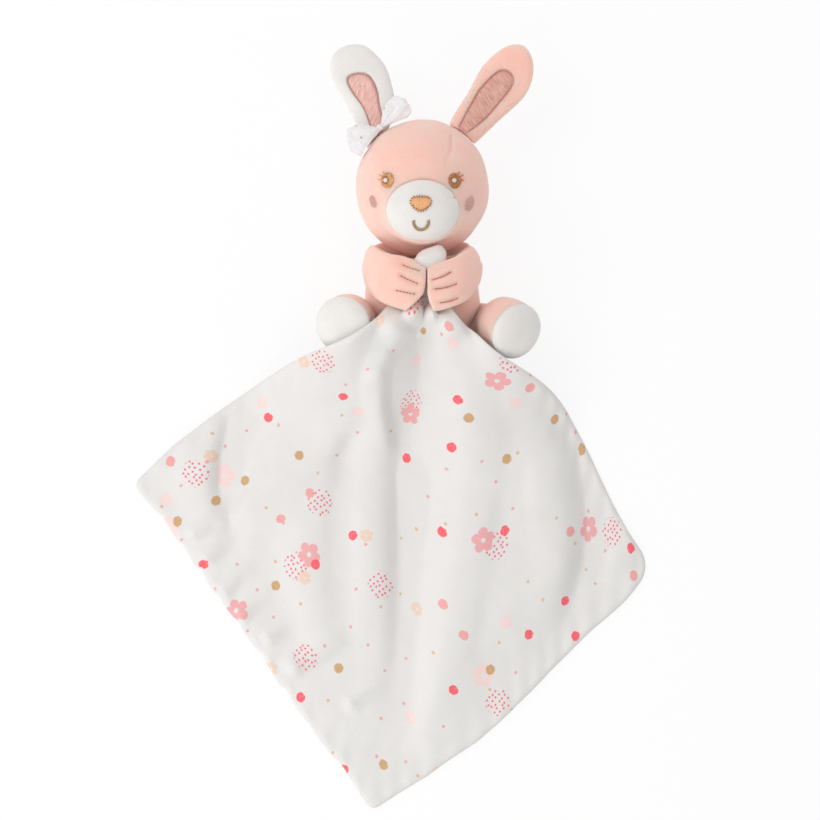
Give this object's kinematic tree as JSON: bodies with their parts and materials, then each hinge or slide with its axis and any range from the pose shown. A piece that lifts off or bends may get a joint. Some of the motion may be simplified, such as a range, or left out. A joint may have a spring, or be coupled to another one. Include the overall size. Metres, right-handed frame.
{
  "type": "comfort blanket",
  "caption": "Small stuffed rabbit lying on its back and holding a soft square blanket by one gathered corner, a comforter for a baby.",
  "frame": {"origin": "middle of the flat of the rabbit's back, on the table it lies on", "axes": "+X to the right as seen from the front, +Y towards the ears, +Z away from the table, out of the face"},
  "size_m": [0.3016, 0.4608, 0.0767],
  "materials": {
    "plush_pink": "short-pile plush",
    "plush_white": "short-pile plush",
    "satin_lining": "satin with a metallic thread",
    "tulle": "fine net",
    "thread_gold": "satin stitch",
    "thread_copper": "satin stitch",
    "thread_rose": "satin stitch",
    "thread_white": "satin stitch",
    "thread_pink": "sewing thread",
    "wadding": "loose fibre",
    "blanket_cloth": "printed short-pile cloth"
  },
  "bodies": {
    "head": {"muzzle_panel": "plush_white", "head_front_panel": "plush_pink", "head_back_panel": "plush_pink", "head_stuffing": "wadding", "left_eye": "thread_gold", "left_eye_glint": "thread_white", "right_eye": "thread_gold", "right_eye_glint": "thread_white", "left_cheek": "thread_rose", "right_cheek": "thread_rose", "nose": "thread_copper", "mouth": "thread_gold"},
    "left_ear": {"left_ear_front": "plush_white", "left_ear_back": "plush_white", "left_ear_lining": "satin_lining", "bow_knot": "tulle", "bow_upper_loop": "tulle", "bow_lower_loop": "tulle"},
    "right_ear": {"right_ear_front": "plush_pink", "right_ear_back": "plush_pink", "right_ear_lining": "satin_lining"},
    "torso": {"torso_cover": "plush_pink", "torso_stuffing": "wadding", "left_arm_cover": "plush_pink", "left_arm_stuffing": "wadding", "left_finger_line_1": "thread_gold", "left_finger_line_2": "thread_gold", "left_finger_line_3": "thread_gold", "right_arm_cover": "plush_pink", "right_arm_stuffing": "wadding", "right_finger_line_1": "thread_gold", "right_finger_line_2": "thread_gold", "right_finger_line_3": "thread_gold", "blanket_corner": "blanket_cloth"},
    "neck_seam": {"neck_seam": "thread_pink"},
    "left_leg": {"left_sole": "plush_white", "left_leg_cover": "plush_pink", "left_leg_stuffing": "wadding"},
    "right_leg": {"right_sole": "plush_white", "right_leg_cover": "plush_pink", "right_leg_stuffing": "wadding"},
    "blanket": {"blanket_front": "blanket_cloth", "blanket_back": "blanket_cloth"}
  },
  "joints": [
    {"name": "head_turn", "type": "hinge", "parent": "torso", "child": "neck_seam", "pos_m": [0, 0.0244, 0.028], "axis": [0, 1, 0], "range_deg": [-25, 25], "stiffness_Nm_per_rad": 0.03},
    {"name": "head_nod", "type": "hinge", "parent": "neck_seam", "child": "head", "pos_m": [0, 0.0244, 0.028], "axis": [1, 0, 0], "range_deg": [0, 8], "stiffness_Nm_per_rad": 0.03},
    {"name": "left_ear_swing", "type": "hinge", "parent": "head", "child": "left_ear", "pos_m": [-0.02744, 0.09898, 0.0345], "axis": [0.9511, 0.309, 0], "range_deg": [-28, 8], "stiffness_Nm_per_rad": 0.02},
    {"name": "right_ear_swing", "type": "hinge", "parent": "head", "child": "right_ear", "pos_m": [0.02596, 0.10016, 0.0345], "axis": [0.8039, -0.5948, 0], "range_deg": [-28, 60], "stiffness_Nm_per_rad": 0.02},
    {"name": "left_leg_splay", "type": "hinge", "parent": "torso", "child": "left_leg", "pos_m": [-0.027, -0.013, 0.0215], "axis": [0, -1, 0], "range_deg": [0, 14], "stiffness_Nm_per_rad": 0.06},
    {"name": "right_leg_splay", "type": "hinge", "parent": "torso", "child": "right_leg", "pos_m": [0.027, -0.013, 0.0215], "axis": [0, 1, 0], "range_deg": [0, 14], "stiffness_Nm_per_rad": 0.06},
    {"name": "blanket_lift", "type": "hinge", "parent": "torso", "child": "blanket", "pos_m": [0, -0.0113, 0.0462], "axis": [-1, 0, 0], "range_deg": [0, 90]}
  ]
}
